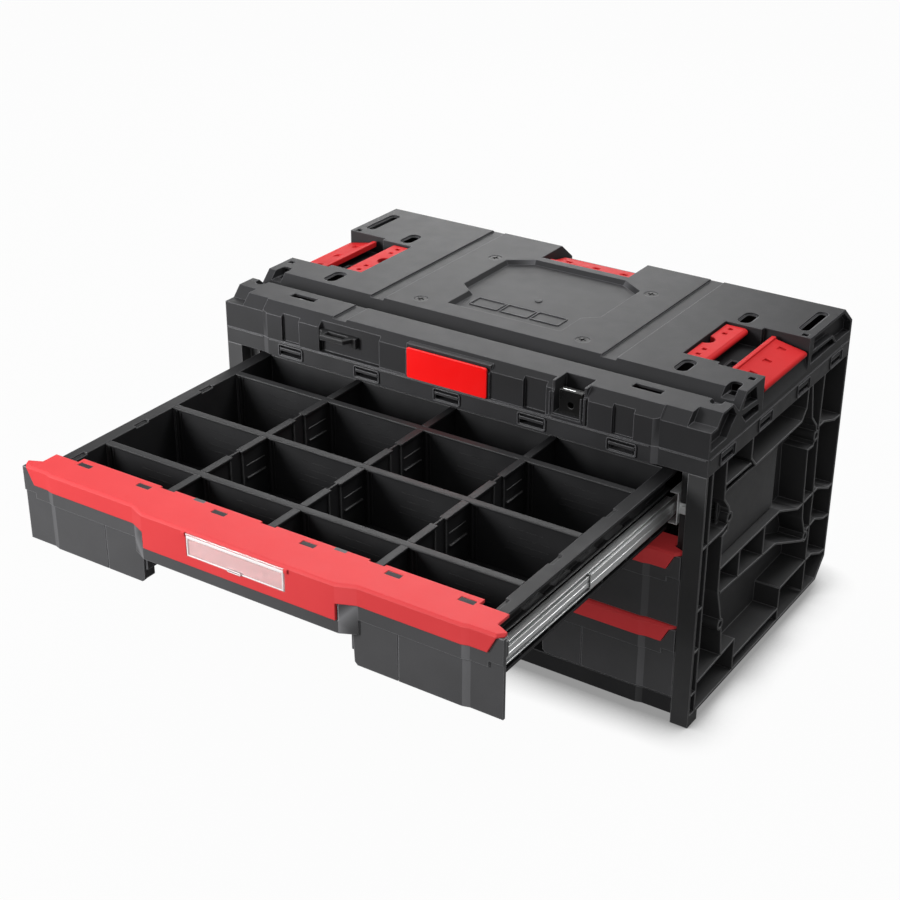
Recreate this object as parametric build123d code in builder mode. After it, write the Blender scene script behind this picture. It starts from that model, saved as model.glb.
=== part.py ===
"""Drawer tool box: a ribbed cabinet with a flat stacking lid and three drawers on telescopic rails.

Millimetres, +Z up, +Y to the back. The origin is the middle of the cabinet's footprint on the floor.
The top drawer stands open by its full travel, the two lower drawers are shut.
"""
import os

from build123d import *

os.makedirs("parts", exist_ok=True)

# Cabinet
cabinet_width = 585.0
cabinet_depth = 350.0
cabinet_height = 348.0
lid_height = 42.0
rim_height = 19.0
sill_height = 31.0
floor_clearance = 11.0
post_width = 19.7
bay_wall_inset = 32.5
step_setback = 15.0
wall = 3.0
rib = 2.2
overrun = 5.0
seat_gap = 0.3
pin_clearance = 0.05

# Drawers
drawer_names = ["bottom", "middle", "top"]
open_drawer = "top"
drawer_pitch = 84.0
drawer_travel = 327.0
drawer_gap = 0.5
front_half = cabinet_width / 2 - post_width - drawer_gap
tray_half = 240.0
tray_wall = 3.0
tray_bottom = 14.0
tray_top = 79.5
tray_setback = 31.0
tray_length = 310.0
front_wall = 3.0

# Drawer slides
rail_height = 35.0
rail_sheet = 1.4
rail_level = 40.0
rail_length = 328.0
rail_setback = 10.0
rail_race = 2.1
rail_play = 0.6

half_width = cabinet_width / 2
half_depth = cabinet_depth / 2
front_y = -half_depth
lid_bottom = cabinet_height - lid_height
opening_top = lid_bottom - rim_height
post_inner = half_width - post_width
bay_half = half_width - bay_wall_inset
step_y = front_y + step_setback
sides = {"left": -1, "right": 1}


def finish(builder, node):
    builder.part.label = node
    export_step(builder.part, f"parts/{node}.step")


def plate(plane, points, amount, both=False, mode=Mode.ADD):
    """Extrude one closed outline that lies on a plane."""
    with BuildSketch(plane) as outline:
        with BuildLine():
            Polyline(*points, close=True)
        make_face()
    extrude(outline.sketch, amount=amount, both=both, mode=mode)


def block(low, high, mode=Mode.ADD):
    """A box between two corners."""
    size = [abs(b - a) for a, b in zip(low, high)]
    middle = [(a + b) / 2 for a, b in zip(low, high)]
    with Locations(tuple(middle)):
        Box(*size, mode=mode)


def on_side(side, a, b):
    """Two X values on one side of the middle, in rising order."""
    return min(side * a, side * b), max(side * a, side * b)


def mirrored(points):
    """Close a right-hand outline with its own mirror image about X = 0."""
    return points + [(-x, y) for x, y in reversed(points)]


# Side panels: an inner wall, a front post and a lattice of outer ribs
lattice_shares = [
    [(-0.92, 1.0), (-0.92, 0.05)],
    [(-0.745, 1.0), (-0.74, 0.85), (-0.665, 0.80), (-0.645, 0.755)],
    [(-0.645, 0.755), (-0.66, 0.71), (-0.725, 0.70), (-0.72, 0.48), (-0.634, 0.32)],
    [(-0.645, 0.74), (-0.72, 0.725), (-0.985, 0.725)],
    [(-0.405, 1.0), (-0.405, 0.92), (-0.33, 0.875), (0.325, 0.88), (0.385, 0.92), (0.385, 1.0)],
    [(0.445, 1.0), (0.495, 0.855), (0.585, 0.80), (0.594, 0.755)],
    [(0.594, 0.755), (0.56, 0.72), (0.475, 0.725), (0.50, 0.485), (0.515, 0.42), (0.594, 0.32)],
    [(0.632, 1.0), (0.625, 0.79), (0.657, 0.49), (0.65, 0.06)],
    [(0.62, 0.787), (0.71, 0.787), (0.89, 0.75), (0.985, 0.747)],
    [(-0.72, 0.57), (0.115, 0.565), (0.417, 0.49), (0.726, 0.496), (0.923, 0.443), (0.985, 0.446)],
    [(0.60, 0.345), (0.743, 0.355), (0.897, 0.314), (0.985, 0.307)],
    [(0.25, 0.19), (0.75, 0.194), (0.91, 0.15), (0.985, 0.145)],
    [(-0.69, 0.465), (0.097, 0.432), (0.543, 0.314), (0.594, 0.32)],
    [(-0.45, 0.57), (-0.45, 0.455)],
    [(-0.10, 0.566), (-0.10, 0.44)],
    [(-0.92, 0.165), (-0.41, 0.18)],
    [(-0.634, 0.32), (-0.60, 0.17)],
    [(-0.41, 0.18), (-0.41, 0.05)],
    [(0.25, 0.19), (0.25, 0.05)],
    [(-0.41, 0.10), (0.25, 0.10)],
    [(-0.74, 0.905), (-0.405, 0.90)],
    [(-0.985, 0.48), (-0.92, 0.48)],
    [(-0.985, 0.31), (-0.92, 0.31)],
    [(-0.985, 0.13), (-0.92, 0.13)],
]
boss_y_share = 0.62
boss_low_share = 0.32
boss_high_share = 0.755
boss_offset_share = -0.0255
boss_radius = 6.5
boss_hole_radius = 4.0
boss_hole_depth = 20.0
field_setback = 10.0
field_front_share = -0.70
field_back_share = 0.115
field_low_share = 0.58
field_bend_share = 0.825
field_high_share = 0.868
foot_length = 21.0
rear_foot_inset = 49.0
rear_foot_setback = 7.5
rear_chamfer = 22.0
screw_radius = 2.0
screw_clearance = 0.1
screw_head_radius = 4.3
screw_head_height = 2.4
skin_outer = bay_half + wall
tab_screw_x = bay_half + (post_inner - bay_half) / 2


def drawer_base(level):
    return sill_height + drawer_gap + level * drawer_pitch


def boss_places():
    for sign in (-1, 1):
        y = (sign * boss_y_share + boss_offset_share) * half_depth
        for z_share in (boss_low_share, boss_high_share):
            yield y, z_share * opening_top


def side_panel(node, side):
    depth = side * (half_width - skin_outer)
    outside = Plane.YZ.offset(side * half_width)
    skin = Plane.YZ.offset(side * skin_outer)
    plan = [
        (bay_half, half_depth),
        (bay_half, step_y),
        (post_inner, step_y),
        (post_inner, front_y),
        (half_width, front_y),
        (half_width, front_y + wall),
        (post_inner + wall, front_y + wall),
        (post_inner + wall, step_y + wall),
        (skin_outer, step_y + wall),
        (skin_outer, half_depth - wall),
        (half_width, half_depth - wall),
        (half_width, half_depth),
    ]
    with BuildPart() as panel:
        height = opening_top - floor_clearance
        plate(Plane.XY.offset(floor_clearance), [(side * x, y) for x, y in plan], height)
        with BuildSketch(skin):
            for path in lattice_shares:
                with BuildLine():
                    Polyline(*[(y * half_depth, z * opening_top) for y, z in path])
                trace(line_width=rib)
                with Locations(*[(y * half_depth, z * opening_top) for y, z in path[1:-1]]):
                    if len(path) > 2:
                        Circle(rib / 2)
        extrude(amount=depth)
        with BuildSketch(skin):
            with Locations(*boss_places()):
                Circle(boss_radius)
        extrude(amount=depth)
        with BuildSketch(outside):
            with Locations(*boss_places()):
                Circle(boss_hole_radius)
        extrude(amount=-side * boss_hole_depth, mode=Mode.SUBTRACT)
        # Plain slanted field below the hand hold
        face = half_width - field_setback
        low = field_low_share * opening_top
        bend = field_bend_share * opening_top
        high = field_high_share * opening_top
        section = [
            (face - rib, low),
            (face, low),
            (face, bend),
            (half_width - rib, high),
            (half_width - rib - rib, high),
            (face - rib, bend),
        ]
        back = field_back_share * half_depth
        front = field_front_share * half_depth
        plate(Plane.XZ.offset(-back), [(side * x, z) for x, z in section], back - front)
        end_wall = [(skin_outer, low), (face, low), (face, bend), (skin_outer, bend)]
        plate(Plane.XZ.offset(-back), [(side * x, z) for x, z in end_wall], rib)
        # Bottom flange, feet and the slanted rear corner
        inner, outer = on_side(side, skin_outer, half_width)
        block((inner, front_y + wall, floor_clearance), (outer, half_depth - wall, floor_clearance + wall))
        rear_foot = half_depth - rear_foot_inset
        for reach, y in ((half_width, front_y), (half_width - rear_foot_setback, rear_foot - foot_length)):
            low_x, high_x = on_side(side, post_inner, reach)
            block((low_x, y, 0), (high_x, y + foot_length, floor_clearance))
        corner = [
            (half_depth + overrun, floor_clearance - overrun),
            (half_depth + overrun, floor_clearance + rear_chamfer + overrun),
            (half_depth - rear_chamfer - overrun, floor_clearance - overrun),
        ]
        plate(outside, corner, -depth, mode=Mode.SUBTRACT)
        slant = [
            (half_depth, floor_clearance + rear_chamfer),
            (half_depth - rear_chamfer, floor_clearance),
            (half_depth - rear_chamfer - wall - rib, floor_clearance),
            (half_depth, floor_clearance + rear_chamfer + wall + rib),
        ]
        plate(skin, slant, depth)
        # Clear the slot behind the drawer fronts and level the top
        slot_low, slot_high = on_side(side, bay_half, post_inner)
        over = opening_top + overrun
        block((slot_low, front_y - overrun, 0), (slot_high, step_y, over), mode=Mode.SUBTRACT)
        block((-half_width, front_y, opening_top), (half_width, half_depth, over), mode=Mode.SUBTRACT)
        # Screw holes for the front tabs of the rails
        with BuildSketch(Plane.XZ.offset(-step_y - wall)):
            for level in range(len(drawer_names)):
                with Locations((side * tab_screw_x, drawer_base(level) + rail_level)):
                    Circle(screw_radius + screw_clearance)
        extrude(amount=wall, mode=Mode.SUBTRACT)
    finish(panel, node)


# Base panel: floor, underside ribs and the front sill with its stepped face
underside_x_shares = [-0.8, -0.4, 0.0, 0.4, 0.8]
underside_y_shares = [-0.65, 0.0, 0.65]
underside_rib = 4.0
sill_step = 2.0
step_outer = 240.0
step_inner = 233.0
seam_place = 168.0
seam_width = 0.9
seam_depth = 0.9
back_lattice_depth = 3.0


def base_panel():
    half = bay_half
    with BuildPart() as base:
        top = floor_clearance + wall
        rear = half_depth - wall - back_lattice_depth
        block((-half, step_y, floor_clearance), (half, rear, top))
        for share in underside_x_shares:
            x = share * half
            block((x - underside_rib / 2, step_y, 0), (x + underside_rib / 2, rear, floor_clearance))
        for share in underside_y_shares:
            y = share * half_depth
            block((-half, y - underside_rib / 2, 0), (half, y + underside_rib / 2, floor_clearance))
        face = [(post_inner, front_y), (step_outer, front_y), (step_inner, front_y - sill_step)]
        back = [(post_inner, front_y + wall), (step_outer, front_y + wall), (step_inner, front_y + wall)]
        sill = mirrored(face) + mirrored(back)[::-1]
        plate(Plane.XY.offset(floor_clearance), sill, sill_height - floor_clearance)
        block((-half, front_y + wall, floor_clearance), (half, step_y, top))
        block((-half, front_y + wall, sill_height - wall), (half, step_y + wall, sill_height))
        block((-half, step_y, floor_clearance), (half, step_y + wall, sill_height))
    finish(base, "base_panel")


# Back panel: a plate with a lattice of shallow ribs outside
back_rib_x_shares = [-0.995, -0.72, -0.36, 0.0, 0.36, 0.72, 0.995]
back_rib_z_shares = [0.045, 0.3, 0.55, 0.8, 0.99]


def back_panel():
    inner = half_depth - wall - back_lattice_depth
    with BuildPart() as back:
        block((-bay_half, inner, floor_clearance), (bay_half, inner + wall, opening_top))
        with BuildSketch(Plane.XZ.offset(-half_depth)):
            for share in back_rib_x_shares:
                x = min(max(share * bay_half, rib / 2 - bay_half), bay_half - rib / 2)
                with Locations((x, (floor_clearance + opening_top) / 2)):
                    Rectangle(rib, opening_top - floor_clearance)
            for share in back_rib_z_shares:
                with Locations((0, share * opening_top)):
                    Rectangle(2 * bay_half, rib)
        extrude(amount=back_lattice_depth)
    finish(back, "back_panel")


# Body rim: a flange on the panels and a band with the paired snap slots of the lid
snap_width = 28.0
snap_low = 3.5
snap_slot = 5.5
snap_bar = 3.0
snap_upper_slot = 2.6
snap_proud = 1.2
front_snap_shares = [-0.69, -0.345, 0.0, 0.345, 0.69]
side_snap_shares = [-0.76, -0.26, 0.28, 0.78]
rim_front_proud = 2.0


def body_rim():
    with BuildPart() as rim:
        floor = Plane.XY.offset(opening_top)
        with BuildSketch(floor):
            Rectangle(cabinet_width, cabinet_depth)
            hole_back = half_depth - wall - back_lattice_depth
            with Locations((0, (hole_back + step_y) / 2)):
                Rectangle(2 * bay_half, hole_back - step_y, mode=Mode.SUBTRACT)
        extrude(amount=wall)
        with BuildSketch(floor):
            Rectangle(cabinet_width, cabinet_depth)
            Rectangle(cabinet_width - 2 * wall, cabinet_depth - 2 * wall, mode=Mode.SUBTRACT)
        extrude(amount=rim_height)
        face = [(step_outer, front_y + wall), (step_outer, front_y), (step_inner, front_y - rim_front_proud)]
        plate(floor, mirrored(face), rim_height)
        # Paired snap slots with a proud bar between them
        low = opening_top + snap_low
        bar_low = low + snap_slot
        bar_high = bar_low + snap_bar
        proud = front_y - rim_front_proud - snap_proud
        for share in front_snap_shares:
            x0 = share * half_width - snap_width / 2
            x1 = x0 + snap_width
            block((x0, proud, bar_low), (x1, front_y, bar_high))
            for z0, z1 in ((low, bar_low), (bar_high, bar_high + snap_upper_slot)):
                block((x0, proud - overrun, z0), (x1, front_y + wall + overrun, z1), mode=Mode.SUBTRACT)
        for side in sides.values():
            x0, x1 = on_side(side, half_width - wall - overrun, half_width + overrun)
            for share in side_snap_shares:
                y0 = share * half_depth - snap_width / 2
                for z0, z1 in ((low, bar_low), (bar_high, bar_high + snap_upper_slot)):
                    block((x0, y0, z0), (x1, y0 + snap_width, z1), mode=Mode.SUBTRACT)
    finish(rim, "body_rim")


# Latch flaps on the lid: a hinge line on each side and at the back
flap_half = 52.0
flap_reach = 36.5
flap_rise = 6.0
flap_thickness = 4.0
flap_barrel = 3.5
flap_rib_width = 5.0
flap_rib_height = 2.5
flap_pin_radius = 2.0
flap_pocket = 8.0
flap_pocket_depth = 2.0
flap_pocket_pitch = 36.0
flap_side_inset = 4.0
flap_back_inset = 25.0
flap_level = 25.0
well_floor = 20.5
well_play = 4.0
well_half = flap_half + well_play
side_well_inner = 200.0
rear_well_inner = 104.0
hinge_z = lid_bottom + flap_level
hinges = {
    "left": Plane((flap_side_inset - half_width, 0, hinge_z), x_dir=(1, 0, 0), z_dir=(0, -1, 0)),
    "right": Plane((half_width - flap_side_inset, 0, hinge_z), x_dir=(-1, 0, 0), z_dir=(0, 1, 0)),
    "rear": Plane((0, half_depth - flap_back_inset, hinge_z), x_dir=(0, -1, 0), z_dir=(-1, 0, 0)),
}
hinge_inset = {"left": flap_side_inset, "right": flap_side_inset, "rear": flap_back_inset}
well_inner = {"left": side_well_inner, "right": side_well_inner, "rear": rear_well_inner}


def latch_flap(place):
    hinge = hinges[place]
    rib_start = flap_reach - flap_rib_width
    with BuildPart() as flap:
        with BuildSketch(hinge):
            with BuildLine():
                Polyline(
                    (0, flap_barrel),
                    (rib_start, flap_barrel + flap_rise),
                    (rib_start, flap_barrel + flap_rise + flap_rib_height),
                    (flap_reach, flap_barrel + flap_rise + flap_rib_height),
                    (flap_reach, flap_barrel + flap_rise - flap_thickness),
                    (0, flap_barrel - flap_thickness),
                    close=True,
                )
            make_face()
            Circle(flap_barrel)
            Circle(flap_pin_radius + pin_clearance, mode=Mode.SUBTRACT)
        extrude(amount=flap_half, both=True)
        # Square pockets that follow the slope of the top
        pocket = []
        for u, depth in ((-1, -overrun), (1, -overrun), (1, flap_pocket_depth), (-1, flap_pocket_depth)):
            reach = (flap_reach + u * flap_pocket) / 2
            pocket.append((reach, flap_barrel + flap_rise * reach / rib_start - depth))
        for step in (-1, 0, 1):
            plate(hinge.offset(step * flap_pocket_pitch), pocket, flap_pocket / 2, both=True,
                  mode=Mode.SUBTRACT)
    finish(flap, f"{place}_latch_flap")
    with BuildPart() as pin:
        with BuildSketch(hinge):
            Circle(flap_pin_radius)
        extrude(amount=well_half + wall - seat_gap, both=True)
    finish(pin, f"{place}_latch_pin")


# Latch levers beside the side flaps, each with a finger notch
lever_half = 48.0
lever_reach = 21.5
lever_barrel = 3.5
lever_top = 4.0
lever_notch = 9.5
lever_pin_radius = 1.8
lever_pocket = 5.0
lever_pocket_depth = 2.0
lever_pocket_reach = 12.0
lever_pocket_places = [-38.0, -24.0, 24.0, 38.0]
lever_x = 223.5
lever_z = cabinet_height - 6.5
lever_well_half = lever_half + well_play / 2
lever_hinges = {
    "left": Plane((-lever_x, 0, lever_z), x_dir=(1, 0, 0), z_dir=(0, -1, 0)),
    "right": Plane((lever_x, 0, lever_z), x_dir=(-1, 0, 0), z_dir=(0, 1, 0)),
}
lever_well_margin = 14.0
lever_well_outer = lever_x + lever_barrel + lever_well_margin


def latch_lever(place):
    hinge = lever_hinges[place]
    with BuildPart() as lever:
        with BuildSketch(hinge):
            with BuildLine():
                Polyline(
                    (0, lever_top),
                    (lever_reach, lever_top),
                    (lever_reach, -lever_barrel),
                    (0, -lever_barrel),
                    close=True,
                )
            make_face()
            Circle(lever_barrel)
            Circle(lever_pin_radius + pin_clearance, mode=Mode.SUBTRACT)
        extrude(amount=lever_half, both=True)
        lift = Plane(hinge.origin, x_dir=hinge.x_dir, z_dir=(0, 0, 1))
        with BuildSketch(lift.offset(-lever_barrel)):
            with Locations((lever_reach, 0)):
                Circle(lever_notch)
        extrude(amount=lever_barrel + lever_top, mode=Mode.SUBTRACT)
        with BuildSketch(lift.offset(lever_top - lever_pocket_depth)):
            with Locations(*[(lever_pocket_reach, y) for y in lever_pocket_places]):
                Rectangle(lever_pocket, lever_pocket)
        extrude(amount=lever_pocket, mode=Mode.SUBTRACT)
    finish(lever, f"{place}_latch_lever")
    with BuildPart() as pin:
        with BuildSketch(hinge):
            Circle(lever_pin_radius)
        extrude(amount=lever_well_half + wall - seat_gap, both=True)
    finish(pin, f"{place}_lever_pin")


# Lid: one shell with a chamfered front, a shelf, a V-groove, a deck and open ends
lid_front_height = 28.5
lid_chamfer = 11.5
shelf_depth = 36.5
groove_front_run = 14.0
groove_depth = 13.0
groove_back_run = 15.0
deck_back_run = 25.0
deck_back_drop = 20.0
front_top = lid_bottom + lid_front_height
shelf_z = front_top + lid_chamfer
shelf_y = front_y + lid_chamfer
groove_y = shelf_y + shelf_depth + groove_front_run
groove_z = shelf_z - groove_depth
deck_y = groove_y + groove_back_run
lid_outline = [
    (front_y, lid_bottom),
    (front_y, front_top),
    (shelf_y, shelf_z),
    (shelf_y + shelf_depth, shelf_z),
    (groove_y, groove_z),
    (deck_y, cabinet_height),
    (half_depth - deck_back_run, cabinet_height),
    (half_depth, cabinet_height - deck_back_drop),
    (half_depth, lid_bottom),
]
end_rim = 2.5
end_solid = 30.0
end_pocket_depth = 8.0
end_pocket_shares = [
    [(-0.986, 0.186), (-0.986, 0.62), (-0.909, 0.62), (-0.857, 0.893), (-0.734, 0.893), (-0.674, 0.595),
     (-0.728, 0.438), (-0.785, 0.198)],
    [(-0.60, 0.595), (-0.56, 0.905), (-0.43, 0.92), (-0.40, 0.536)],
    [(-0.606, 0.464), (-0.377, 0.393), (-0.369, 0.19), (-0.543, 0.19)],
    [(0.38, 0.917), (0.846, 0.917), (0.977, 0.512), (0.977, 0.25), (0.758, 0.262), (0.687, 0.536),
     (0.38, 0.595)],
    [(0.36, 0.51), (0.68, 0.47), (0.74, 0.257), (0.36, 0.255)],
]
side_cavity_front = -85.0
corner_relief_height = 24.0
corner_relief_back = -115.0
lid_proud = 2.0
face_y = front_y - lid_proud
channel_x = 142.5
channel_width = 17.0
channel_depth = 2.0
face_recess_half = 163.0
face_recess = 2.0
face_pockets = [(-163.0, -86.0), (89.0, 115.0)]
face_pocket_depth = 6.0
face_groove_x = 201.5
face_groove_width = 23.0
face_groove_depth = 3.2
corner_cut_start = 268.0
corner_ledge = 14.0
corner_rise_run = 11.0
shelf_slot_x = 209.0
shelf_slot_share = 0.6
shelf_slot_length = 32.0
shelf_slot_width = 10.0
deck_screw_x = 100.0
deck_screw_front = -77.0
deck_screw_back = 74.0
lid_screw_radius = 2.5
lid_screw_head = 7.5
lid_screw_sink = 2.2
lid_screw_length = 12.0
lid_boss_radius = 6.0
field_depth = 5.0
field_slope = 4.0
deck_field = [(58.0, 94.0), (86.0, 75.0), (86.0, -14.0), (70.0, -28.0), (70.0, -71.0)]
tie_slots = [(216.0, 71.0, 31.0, 16.0), (216.0, -76.0, 31.0, 16.0), (277.0, 101.0, 59.0, 13.0)]
tie_slot_rim = 2.4
tie_slot_step = 2.0
corner_slot_x = 276.5
corner_slot_y = -110.0
corner_slot_length = 56.0
corner_slot_width = 13.0
corner_slot_depth = 9.0
corner_hole_y = -91.0
corner_hole = 10.0
corner_hole_depth = 15.0
peg_hole = 7.0
peg_hole_places = [(284.0, 62.0), (284.0, -68.0)]
peg_hole_depth = 6.0
badge_half = 48.5
badge_low = 0.8
badge_height = 33.5
badge_thickness = 2.0
badge_border = 2.5
lock_x = 141.5
lock_half = 16.5
lock_low = 6.0
lock_depth = 23.0
lock_rim = 2.5
socket_x = 242.0
socket_y = -22.0
socket_width = 20.0
socket_length = 36.0
socket_height = 5.0
apron_run = 4.5
apron_drop = 15.5


def latch_well(place):
    """Fill the place of a latch, then sink its well and hollow the underside."""
    hinge = hinges[place]
    inset = hinge_inset[place]
    inner = well_inner[place]
    span = (half_depth if place == "rear" else half_width) - inset
    reach = span - inner
    deck = cabinet_height - hinge_z
    floor = well_floor - flap_level
    bottom = lid_bottom - hinge_z
    rear = place == "rear"
    top_start = 0 if rear else -inset
    fill = [(reach + wall, bottom), (reach + wall, deck), (top_start, deck)]
    fill += [(-inset, deck - deck_back_drop), (-inset, bottom)] if rear else [(-inset, bottom)]
    plate(hinge, fill, well_half + wall, both=True)
    flap_start = reach if rear else span - lever_well_outer
    sink = [
        (flap_start, deck + overrun),
        (flap_start, floor),
        (apron_run - inset, floor),
        (-inset, floor - apron_drop),
        (-inset - overrun, floor - apron_drop),
        (-inset - overrun, deck + overrun),
    ]
    plate(hinge, sink, well_half, both=True, mode=Mode.SUBTRACT)
    if not rear:
        high = deck + overrun
        lever_sink = [(reach, high), (reach, floor), (flap_start, floor), (flap_start, high)]
        plate(hinge, lever_sink, lever_well_half, both=True, mode=Mode.SUBTRACT)
    hollow = [
        (reach, bottom - overrun),
        (reach, floor - wall),
        (apron_run - inset + wall, floor - wall),
        (wall - inset + apron_run, bottom - overrun),
    ]
    plate(hinge, hollow, well_half, both=True, mode=Mode.SUBTRACT)


def lid():
    inner_half = half_width - end_solid
    pocket_x = half_width - end_pocket_depth
    with BuildPart() as top:
        plate(Plane.YZ, lid_outline, half_width, both=True)
        # Proud middle of the front, with its own chamfer
        proud = mirrored([(step_outer, shelf_y), (step_outer, front_y), (step_inner, face_y)])
        plate(Plane.XY.offset(lid_bottom), proud, shelf_z - lid_bottom)
        wedge = [
            (face_y - overrun, front_top - overrun),
            (shelf_y - lid_proud + overrun, shelf_z + overrun),
            (face_y - overrun, shelf_z + overrun),
        ]
        plate(Plane.YZ, wedge, half_width, both=True, mode=Mode.SUBTRACT)
        # Hollow underside, with narrower hollows at the ends
        for reach, front in ((inner_half, front_y), (pocket_x - wall, side_cavity_front)):
            with BuildSketch(Plane.YZ):
                with BuildLine():
                    Polyline(*lid_outline, close=True)
                make_face()
                offset(amount=-wall, kind=Kind.INTERSECTION, mode=Mode.REPLACE)
                with Locations((front, cabinet_height)):
                    Rectangle(half_depth + front, cabinet_height, align=(Align.MAX, Align.CENTER),
                              mode=Mode.SUBTRACT)
            extrude(amount=reach, both=True, mode=Mode.SUBTRACT)
            block((-reach, front + wall, lid_bottom - overrun),
                  (reach, half_depth - wall, lid_bottom + wall + overrun), mode=Mode.SUBTRACT)
        for side in sides.values():
            low, high = on_side(side, inner_half + wall, pocket_x - wall)
            block((low, front_y + wall, lid_bottom - overrun),
                  (high, corner_relief_back, lid_bottom + corner_relief_height), mode=Mode.SUBTRACT)
            # Open pockets in the two ends
            for shares in end_pocket_shares:
                pocket = [(y * half_depth, lid_bottom + z * lid_height) for y, z in shares]
                plate(Plane.YZ.offset(side * pocket_x), pocket, side * (end_pocket_depth + overrun),
                      mode=Mode.SUBTRACT)
        # Solid skin behind the front details
        skin = lid_chamfer + wall
        badge_top = lid_bottom + badge_low + badge_height + badge_border
        block((-badge_half - badge_border, front_y, lid_bottom),
              (badge_half + badge_border, front_y + skin, badge_top))
        block((lock_x - lock_half - lock_rim, front_y, lid_bottom),
              (lock_x + lock_half + lock_rim, front_y + lock_depth + wall, shelf_z))
        block((-face_recess_half - wall, front_y, lid_bottom),
              (face_recess_half + wall, front_y + face_recess + wall, front_top))
        pocket_y = face_y + face_pocket_depth
        for start, end in face_pockets:
            block((start - wall, pocket_y - wall / 2, lid_bottom),
                  (end + wall, pocket_y + wall, front_top + face_pocket_depth - wall))
        block((-inner_half, front_y, lid_bottom), (inner_half, front_y + face_groove_depth + wall, front_top))
        field_x = max(x for x, y in deck_field) + wall
        field_y = [y for x, y in deck_field]
        block((-field_x, min(field_y) - wall, cabinet_height - field_depth - wall),
              (field_x, max(field_y) + wall, cabinet_height))
        for sign in sides.values():
            for y in (deck_screw_front, deck_screw_back):
                with BuildSketch(Plane.XY.offset(cabinet_height - wall)):
                    with Locations((sign * deck_screw_x, y)):
                        Circle(lid_boss_radius)
                extrude(amount=-lid_screw_length)
        for place in hinges:
            latch_well(place)
        # Stepped front face with the seats of the badge, the loop and the lock
        face_low = lid_bottom + badge_low
        for span in ((-face_recess_half, -badge_half - badge_border),
                     (badge_half + badge_border, lock_x - lock_half - lock_rim),
                     (lock_x + lock_half + lock_rim, face_recess_half)):
            block((span[0], face_y - overrun, face_low),
                  (span[1], face_y + face_recess, shelf_z + overrun), mode=Mode.SUBTRACT)
        for start, end in face_pockets:
            block((start, face_y - overrun, face_low), (end, pocket_y, shelf_z + overrun), mode=Mode.SUBTRACT)
        for sign in sides.values():
            groove_in = sign * face_groove_x - face_groove_width / 2
            groove_out = sign * face_groove_x + face_groove_width / 2
            block((groove_in, face_y - overrun, face_low),
                  (groove_out, face_y + face_groove_depth, front_top + face_groove_depth),
                  mode=Mode.SUBTRACT)
        block((lock_x - lock_half, face_y - overrun, lid_bottom + lock_low),
              (lock_x + lock_half, front_y + lock_depth, shelf_z + overrun), mode=Mode.SUBTRACT)
        # Lowered front corners
        for sign in sides.values():
            corner = [
                (front_y - overrun, front_top),
                (front_y + corner_ledge, front_top),
                (front_y + corner_ledge + corner_rise_run, shelf_z),
                (front_y + corner_ledge + corner_rise_run, shelf_z + overrun),
                (front_y - overrun, shelf_z + overrun),
            ]
            reach = half_width - corner_cut_start + overrun
            plate(Plane.YZ.offset(sign * corner_cut_start), corner, sign * reach, mode=Mode.SUBTRACT)
        # Channels from front to back, on the shelf and on the deck
        for sign in sides.values():
            low, high = sign * channel_x - channel_width / 2, sign * channel_x + channel_width / 2
            block((low, deck_y - groove_back_run, cabinet_height - channel_depth),
                  (high, half_depth, cabinet_height + overrun), mode=Mode.SUBTRACT)
            if sign < 0:
                block((low, front_y, shelf_z - channel_depth), (high, groove_y, shelf_z + overrun),
                      mode=Mode.SUBTRACT)
        # Slots, peg holes and the sunk field of the deck
        deck = Plane.XY.offset(cabinet_height)
        shelf_slot_y = shelf_y + shelf_depth * shelf_slot_share
        with BuildSketch(deck):
            for sign in sides.values():
                with Locations((sign * shelf_slot_x, shelf_slot_y)):
                    Rectangle(shelf_slot_length, shelf_slot_width)
        extrude(amount=-(cabinet_height - shelf_z + wall + overrun), mode=Mode.SUBTRACT)
        with BuildSketch(deck):
            for sign in sides.values():
                for x, y, length, width in tie_slots:
                    with Locations((sign * x, y)):
                        SlotOverall(length, width, rotation=90)
        extrude(amount=-tie_slot_step, mode=Mode.SUBTRACT)
        with BuildSketch(deck):
            for sign in sides.values():
                for x, y, length, width in tie_slots:
                    with Locations((sign * x, y)):
                        SlotOverall(length - 2 * tie_slot_rim, width - 2 * tie_slot_rim, rotation=90)
        extrude(amount=-(wall + overrun), mode=Mode.SUBTRACT)
        with BuildSketch(deck):
            for sign in sides.values():
                with Locations((sign * corner_slot_x, corner_slot_y)):
                    SlotOverall(corner_slot_length, corner_slot_width, rotation=90)
        extrude(amount=-corner_slot_depth, mode=Mode.SUBTRACT)
        with BuildSketch(deck):
            for sign in sides.values():
                with Locations((sign * corner_slot_x, corner_hole_y)):
                    Rectangle(corner_hole, corner_hole)
        extrude(amount=-corner_hole_depth, mode=Mode.SUBTRACT)
        with BuildSketch(deck):
            for sign in sides.values():
                with Locations(*[(sign * x, y) for x, y in peg_hole_places]):
                    Rectangle(peg_hole, peg_hole)
        extrude(amount=-peg_hole_depth, mode=Mode.SUBTRACT)
        for level, inset in ((0, 0), (-field_depth, field_slope)):
            with BuildSketch(deck.offset(level)):
                with BuildLine():
                    Polyline(*mirrored(deck_field), close=True)
                make_face()
                if inset:
                    offset(amount=-inset, kind=Kind.INTERSECTION, mode=Mode.REPLACE)
        loft(ruled=True, mode=Mode.SUBTRACT)
        # Screw seats
        for sign in sides.values():
            for y in (deck_screw_front, deck_screw_back):
                with Locations((sign * deck_screw_x, y, cabinet_height)):
                    CounterBoreHole(lid_screw_radius + screw_clearance, lid_screw_head + screw_clearance,
                                    lid_screw_sink, depth=lid_screw_length)
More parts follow.
